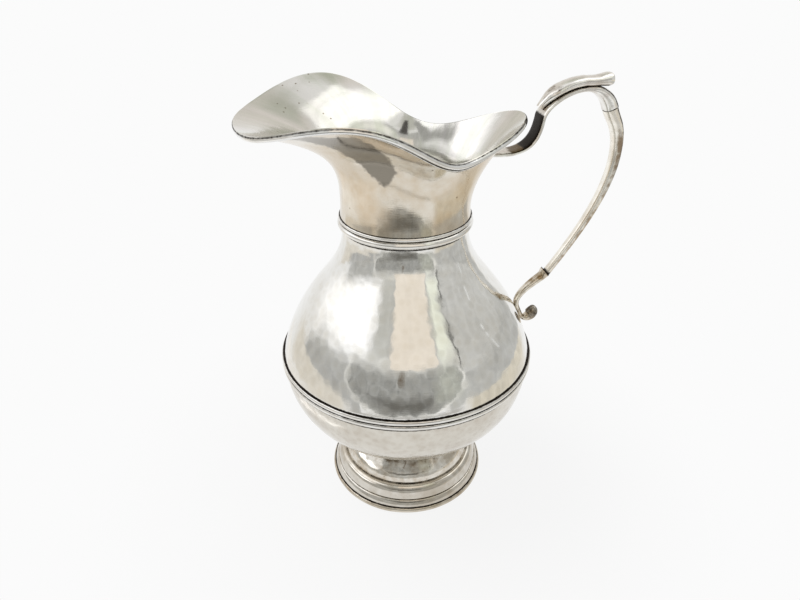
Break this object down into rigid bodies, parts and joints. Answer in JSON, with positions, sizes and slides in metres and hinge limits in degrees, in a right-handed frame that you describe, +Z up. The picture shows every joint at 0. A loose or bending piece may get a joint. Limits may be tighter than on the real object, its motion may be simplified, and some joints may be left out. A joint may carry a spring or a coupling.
{
  "type": "pitcher",
  "caption": "Footed silver water pitcher with a round hammered belly, reeded bands, a wide waved pouring lip and an open scroll handle",
  "frame": {"origin": "centre of the flat ring the foot rests on, on the body's axis", "axes": "+Z up along the body's axis; the pouring lip points along -X and the handle stands along +X; the XZ plane is the plane of symmetry"},
  "size_m": [0.2157, 0.158, 0.2619],
  "materials": {
    "silver_body": "hand-hammered sheet, polished, lightly tarnished",
    "silver_trim": "polished drawn wire, dark in the grooves",
    "silver_handle": "polished casting, warm tarnish in the recesses"
  },
  "bodies": {
    "root": {"base_ring": "silver_trim", "foot_moulding": "silver_body", "foot_stem": "silver_body", "lower_bowl": "silver_body", "belly_band": "silver_trim", "upper_body": "silver_body", "neck_band": "silver_trim", "neck_spout": "silver_body", "rim_wire": "silver_trim", "handle_root": "silver_handle", "thumb_leaf": "silver_handle", "handle_arm": "silver_handle", "tail_scroll": "silver_handle"}
  },
  "joints": []
}
